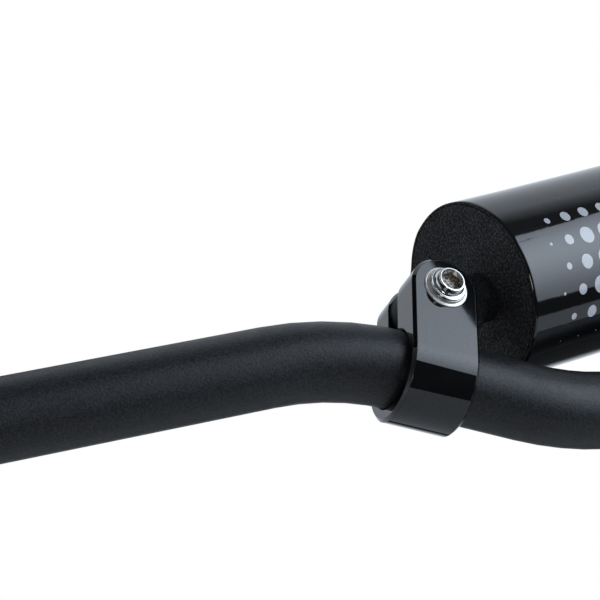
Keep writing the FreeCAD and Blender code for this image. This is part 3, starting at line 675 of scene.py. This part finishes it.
def rounded(profile, corner, radius, steps=ARC_STEPS):
    """The profile with one of its corners replaced by an arc."""
    before, here, after = (Vector(point) for point in profile[corner - 1:corner + 2])
    to_before = (before - here).normalized()
    to_after = (after - here).normalized()
    half_angle = to_before.angle(to_after) / 2
    start = here + to_before * (radius / math.tan(half_angle))
    end = here + to_after * (radius / math.tan(half_angle))
    centre = here + (to_before + to_after).normalized() * (radius / math.sin(half_angle))
    first, last = start - centre, end - centre
    arc = []
    for step in range(steps + 1):
        spread = first.lerp(last, step / steps).normalized() * radius
        arc.append(tuple(centre + spread))
    return profile[:corner] + arc + profile[corner + 1:]


def turned(work, profile, seat, shape=None):
    """Sweeps radius and height, towards the front, about an axis through the seat."""
    def point(i, j):
        angle = math.tau * j / TURN_STEPS
        radius, height = profile[i]
        if shape:
            radius = shape(i, radius, angle)
        return seat + Vector((radius * math.cos(angle), -height, radius * math.sin(angle)))
    add_grid(work, len(profile) - 1, TURN_STEPS, point)


print("bolts at x", [round(x / MM, 1) for x in bolt_places], "mm")
print("washer radius", round(washer_radius / MM, 2), "mm")

# %% [markdown]
# The washer has a thin round rim that catches the light, and a raised seat under the bolt. A
# small cove runs from the rim up to the seat.

# %% Washers with a round rim
WASHER_HOLE = 3.3 * MM
RIM_HEIGHT = 0.4 * MM
RIM_ROUND = 0.35 * MM
SEAT_RADIUS = 5.55 * MM
SEAT_ROUND = 0.15 * MM
COVE_RADIUS = 0.4 * MM

ring = [
    (WASHER_HOLE, 0.0),
    (washer_radius, 0.0),
    (washer_radius, RIM_HEIGHT),
    (SEAT_RADIUS, RIM_HEIGHT),
    (SEAT_RADIUS, washer_thickness),
    (WASHER_HOLE, washer_thickness),
]
for corner, radius in ((4, SEAT_ROUND), (3, COVE_RADIUS), (2, RIM_ROUND)):
    ring = rounded(ring, corner, radius)
work = bmesh.new()
for x in bolt_places:
    turned(work, ring + ring[:1], Vector((x, washer_high.y, bolt_z)))
new_piece("washers", finished_mesh(work, "washers"), steel, "clamp_washers")

# %% [markdown]
# The bolt has a flange, a flared neck, a round head and a six-sided socket. The socket comes from
# the same sweep: the radius of its rings follows a hexagon in place of a circle. Its faces get the
# bare finish.

# %% Bolts with a flange and a socket
SHANK_RADIUS = 3.0 * MM
TIP_CHAMFER = 0.7 * MM
FLANGE_RADIUS = 5.4 * MM
FLANGE_EDGE = 0.7 * MM
FLANGE_ROUND = 0.3 * MM
NECK_ROUND = 1.05 * MM
NECK_STEPS = 12
HEAD_RADIUS = 3.95 * MM
HEAD_ROUND = 0.3 * MM
SOCKET_SIDES = 6
SOCKET_FLATS = 5.0 * MM
SOCKET_MOUTH = 3.4 * MM
MOUTH_DEPTH = 0.9 * MM
SOCKET_DEPTH = 2.5 * MM
BARE_INDEX = 1

seat_y = washer_low.y
head_height = seat_y - bolt_low.y
tip = seat_y - bolt_high.y
socket_floor = head_height - SOCKET_DEPTH
socket_rim = head_height - MOUTH_DEPTH
profile = [
    (0.0, tip),
    (SHANK_RADIUS - TIP_CHAMFER, tip),
    (SHANK_RADIUS, tip + TIP_CHAMFER),
    (SHANK_RADIUS, 0.0),
    (FLANGE_RADIUS, 0.0),
    (FLANGE_RADIUS, FLANGE_EDGE),
    (HEAD_RADIUS, FLANGE_EDGE),
    (HEAD_RADIUS, head_height),
    (SOCKET_MOUTH, head_height),
]
for corner, radius, steps in (
    (7, HEAD_ROUND, ARC_STEPS),
    (6, NECK_ROUND, NECK_STEPS),
    (5, FLANGE_ROUND, ARC_STEPS),
):
    profile = rounded(profile, corner, radius, steps)
socket_start = len(profile)
profile += [(SOCKET_FLATS / 2, socket_rim), (SOCKET_FLATS / 2, socket_floor), (0.0, socket_floor)]


def hexagon(ring_number, radius, angle):
    """The radius on a six-sided outline for the socket's rings, with a corner on the X axis."""
    if ring_number < socket_start:
        return radius
    side_angle = math.tau / SOCKET_SIDES
    return radius / math.cos(angle % side_angle - side_angle / 2)


work = bmesh.new()
for x in bolt_places:
    turned(work, profile, Vector((x, seat_y, bolt_z)), hexagon)
bolts = new_piece("bolts", finished_mesh(work, "bolts"), polish, "clamp_bolts")
bolts.data.materials.append(bare)
for face in bolts.data.polygons:
    off_axis = min(math.hypot(face.center.x - x, face.center.z - bolt_z) for x in bolt_places)
    if face.center.y < seat_y and off_axis < SOCKET_MOUTH:
        face.material_index = BARE_INDEX

# %% [markdown]
# The foam is a round log, bored for the brace rod and slit from the bore to its back, so that it
# can be pushed on. Its ends are cut, so their faces are not quite flat. Each face is a fan from
# the bore to the outside, and the slit is where the fan begins and ends.

# %% The foam log
ROD_RADIUS = 7.0 * MM
BORE_GAP = 0.2 * MM
SLIT_WIDTH = 0.8 * MM
ROUND_STEPS = 150
FACE_STEPS = 22
LENGTH_STEPS = 60
CUT_ROUGHNESS = 0.16 * MM
CUT_SCALE = 900.0

rod_low, rod_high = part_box("crossbar")
rod_middle = (rod_low + rod_high) / 2
bore_radius = ROD_RADIUS + BORE_GAP
bore_offset = Vector((rod_middle.y - pad_middle.y, rod_middle.z - pad_middle.z))


def circle_point(radius, angle):
    return Vector((radius * math.cos(angle), radius * math.sin(angle)))


def noise_share(spot):
    """Smooth noise between nothing and one."""
    return 0.5 + 0.5 * noise.noise(spot)


def foam_spot(turn_share, face_share):
    """A point of the foam's section: from the bore out to the round, once round from the slit."""
    half_slit = math.asin(SLIT_WIDTH / 2 / bore_radius)
    inner = bore_offset + circle_point(bore_radius, half_slit + (math.tau - 2 * half_slit) * turn_share)
    start = math.asin((bore_offset.y + SLIT_WIDTH / 2) / foam_radius)
    end = math.asin((bore_offset.y - SLIT_WIDTH / 2) / foam_radius) + math.tau
    outer = circle_point(foam_radius, start + (end - start) * turn_share)
    return inner.lerp(outer, face_share)


def foam_point(turn_share, face_share, length_share):
    flat = foam_spot(turn_share, face_share)
    x = pad_half * (2 * length_share - 1)
    if length_share in (0, 1):
        x -= math.copysign(CUT_ROUGHNESS * noise_share(Vector((flat.x, flat.y, x)) * CUT_SCALE), x)
    return Vector((x, pad_middle.y + flat.x, pad_middle.z + flat.y))


work = bmesh.new()
for end in (0, 1):
    add_grid(work, ROUND_STEPS, FACE_STEPS,
             lambda i, j: foam_point(i / ROUND_STEPS, j / FACE_STEPS, end))
for side in (0, 1):
    add_grid(work, ROUND_STEPS, LENGTH_STEPS,
             lambda i, j: foam_point(i / ROUND_STEPS, side, j / LENGTH_STEPS))
    add_grid(work, FACE_STEPS, LENGTH_STEPS,
             lambda i, j: foam_point(side, i / FACE_STEPS, j / LENGTH_STEPS))
foam = new_piece("foam_log", finished_mesh(work, "foam_log"), foam_cut, "pad_foam")

# %% [markdown]
# The cover is one sheet: its hidden edge lies under the flap, it goes once round the foam, steps
# out over the touch fastener and ends as the flap. A line through its section, carried along the
# pad, gives the sheet. The film is a little loose on the foam, so it stands off in slow, shallow
# waves, and its cut ends waver.

# %% The wrapped cover
FILM_THICKNESS = 0.7 * MM
WRAP_GAP = 0.05 * MM
STRIP_THICKNESS = 0.9 * MM
OVERLAP_LENGTH = 28 * MM
OVERLAP_MIDDLE = math.radians(-5)
FLAP_EASE = 4 * MM
FLAP_STEP = 8 * MM
WAVE_HEIGHT = 0.15 * MM
WAVE_SCALE = 38.0
END_WAVER = 0.25 * MM
END_WAVER_SCALE = 76.0
WRAP_STEPS = 120
FLAP_STEPS = 34
COVER_LENGTH_STEPS = 74
HELD_FADE = 10

cover_radius = foam_radius + WRAP_GAP + FILM_THICKNESS / 2
cover_outer = foam_radius + WRAP_GAP + FILM_THICKNESS
loop_radius = cover_outer + WRAP_GAP + STRIP_THICKNESS / 2
hook_radius = loop_radius + STRIP_THICKNESS + WRAP_GAP
flap_radius = hook_radius + STRIP_THICKNESS / 2 + WRAP_GAP + FILM_THICKNESS / 2
inner_edge = OVERLAP_MIDDLE + OVERLAP_LENGTH / 2 / cover_outer
flap_edge = OVERLAP_MIDDLE - OVERLAP_LENGTH / 2 / cover_outer
flap_start = inner_edge + FLAP_EASE / cover_outer
step_start = flap_start + FLAP_STEP / cover_outer


def smooth_step(share):
    share = min(max(share, 0.0), 1.0)
    return share * share * (3 - 2 * share)


def pad_point(x, radius, angle):
    """A point round the pad's axis, with the angle counted from the back."""
    return Vector((x, pad_middle.y + radius * math.cos(angle), pad_middle.z + radius * math.sin(angle)))


def cover_section(i):
    """Angle and radius along the sheet, from its hidden edge to the flap's edge."""
    if i <= WRAP_STEPS:
        hidden_edge = inner_edge + math.tau
        return hidden_edge + (step_start - hidden_edge) * i / WRAP_STEPS, cover_radius
    angle = step_start + (flap_edge - step_start) * (i - WRAP_STEPS) / FLAP_STEPS
    rise = smooth_step((step_start - angle) / (step_start - flap_start))
    return angle, cover_radius + (flap_radius - cover_radius) * rise


def looseness(i):
    """How free the film is: not at all at its hidden edge and on the flap."""
    return smooth_step(i / HELD_FADE) * smooth_step((WRAP_STEPS - i) / HELD_FADE)


def cover_point(i, j):
    angle, radius = cover_section(i)
    x = pad_half * (2 * j / COVER_LENGTH_STEPS - 1)
    spot = Vector((x, radius * math.cos(angle), radius * math.sin(angle)))
    radius += WAVE_HEIGHT * noise_share(spot * WAVE_SCALE) * looseness(i)
    if j in (0, COVER_LENGTH_STEPS):
        x -= math.copysign(END_WAVER * noise_share(spot * END_WAVER_SCALE), x)
    return pad_point(x, radius, angle)


work = bmesh.new()
add_grid(work, WRAP_STEPS + FLAP_STEPS, COVER_LENGTH_STEPS, cover_point)
cover = new_piece("film_cover", finished_mesh(work, "film_cover"), film, "pad_cover")

# %% [markdown]
# The film is held by its hidden edge and by the fastened flap, and between them the foam presses
# it outwards. A short cloth simulation with a little inner pressure, some slack and no weight
# does the same to the sheet. Its moves are capped, so that the film stays on the foam.

# %% The film settles on the foam
CLOTH_FRAMES = 20
FOAM_PRESSURE = 4.0
FILM_MASS = 0.002
FILM_STRETCH = 30.0
FILM_BENDING = 4.0
FILM_SLACK = -0.003
HELD_STEPS = 4
MOVE_CAP = 0.25 * MM

first_frame = scene.frame_current
per_row = COVER_LENGTH_STEPS + 1
fixed = [v.index for v in cover.data.vertices if not HELD_STEPS <= v.index // per_row < WRAP_STEPS]
held = cover.vertex_groups.new(name="held")
held.add(fixed, 1.0, "REPLACE")
cloth = cover.modifiers.new("settling", "CLOTH")
cloth.settings.vertex_group_mass = held.name
cloth.settings.mass = FILM_MASS
cloth.settings.tension_stiffness = FILM_STRETCH
cloth.settings.compression_stiffness = FILM_STRETCH
cloth.settings.shear_stiffness = FILM_STRETCH
cloth.settings.bending_stiffness = FILM_BENDING
cloth.settings.shrink_min = FILM_SLACK
cloth.settings.use_pressure = True
cloth.settings.uniform_pressure_force = FOAM_PRESSURE
cloth.settings.effector_weights.gravity = 0.0
cloth.collision_settings.use_collision = False
for frame_number in range(1, CLOTH_FRAMES + 1):
    scene.frame_set(frame_number)
settled = cover.evaluated_get(bpy.context.evaluated_depsgraph_get()).data
lifts = []
for vertex, moved in zip(cover.data.vertices, settled.vertices):
    outward = Vector((0.0, vertex.co.y - pad_middle.y, vertex.co.z - pad_middle.z)).normalized()
    lifts.append((outward, (moved.co - vertex.co).dot(outward)))
cover.modifiers.remove(cloth)
scene.frame_set(first_frame)
for vertex, (outward, lift) in zip(cover.data.vertices, lifts):
    share = 0.5 + 0.5 * math.tanh(lift / MOVE_CAP)
    vertex.co += outward * MOVE_CAP * share * looseness(vertex.index // per_row)
heights = [lift / MM for _, lift in lifts]
print("the cloth moved by", round(min(heights), 3), "to", round(max(heights), 3), "mm before the cap")

# %% [markdown]
# A subdivision smooths the settled sheet, and a solidify modifier gives it its thickness. The cut
# edge of a film is as matt as the foam, so the rim has the foam's finish.

# %% The film's thickness
MATT_EDGE = 1

smoothing = cover.modifiers.new("smooth_film", "SUBSURF")
smoothing.levels = 1
smoothing.render_levels = 1
sheet_depth = cover.modifiers.new("film_thickness", "SOLIDIFY")
sheet_depth.thickness = FILM_THICKNESS
sheet_depth.offset = 0.0
sheet_depth.material_offset_rim = MATT_EDGE
cover.data.materials.append(foam_cut)
print("film", round(sheet_depth.thickness / MM, 2), "mm thick")

# %% [markdown]
# The two halves of the touch fastener are curved strips. Their faces are tufted, so each face is
# raised a little from point to point.

# %% Loop and hook strips
STRIP_WIDTH = 20 * MM
STRIP_END = 9 * MM
STRIP_STEPS = 40
STRIP_LENGTH_STEPS = 200
TUFT_HEIGHT = 0.05 * MM
TUFT_SCALE = 1500.0


def strip_mesh(name, radius):
    half_angle = STRIP_WIDTH / 2 / cover_outer
    half_length = pad_half - STRIP_END

    def strip_point(i, j, face):
        angle = OVERLAP_MIDDLE + half_angle * (2 * i / STRIP_STEPS - 1)
        x = half_length * (2 * j / STRIP_LENGTH_STEPS - 1)
        inside = 0 < i < STRIP_STEPS and 0 < j < STRIP_LENGTH_STEPS
        tuft = noise.noise(Vector((x, angle * radius, face)) * TUFT_SCALE) if inside else -1
        off_middle = STRIP_THICKNESS / 2 + TUFT_HEIGHT / 2 * (tuft - 1)
        return pad_point(x, radius + face * off_middle, angle)

    work = bmesh.new()
    for face in (-1, 1):
        add_grid(work, STRIP_STEPS, STRIP_LENGTH_STEPS, lambda i, j: strip_point(i, j, face))
    for i in (0, STRIP_STEPS):
        add_grid(work, 1, STRIP_LENGTH_STEPS, lambda k, j: strip_point(i, j, 2 * k - 1))
    for j in (0, STRIP_LENGTH_STEPS):
        add_grid(work, STRIP_STEPS, 1, lambda i, k: strip_point(i, j, 2 * k - 1))
    return finished_mesh(work, name)


for half, radius in (("loop", loop_radius), ("hook", hook_radius)):
    new_piece(half + "_strip", strip_mesh(half + "_strip", radius), pile, f"pad_{half}_strip")
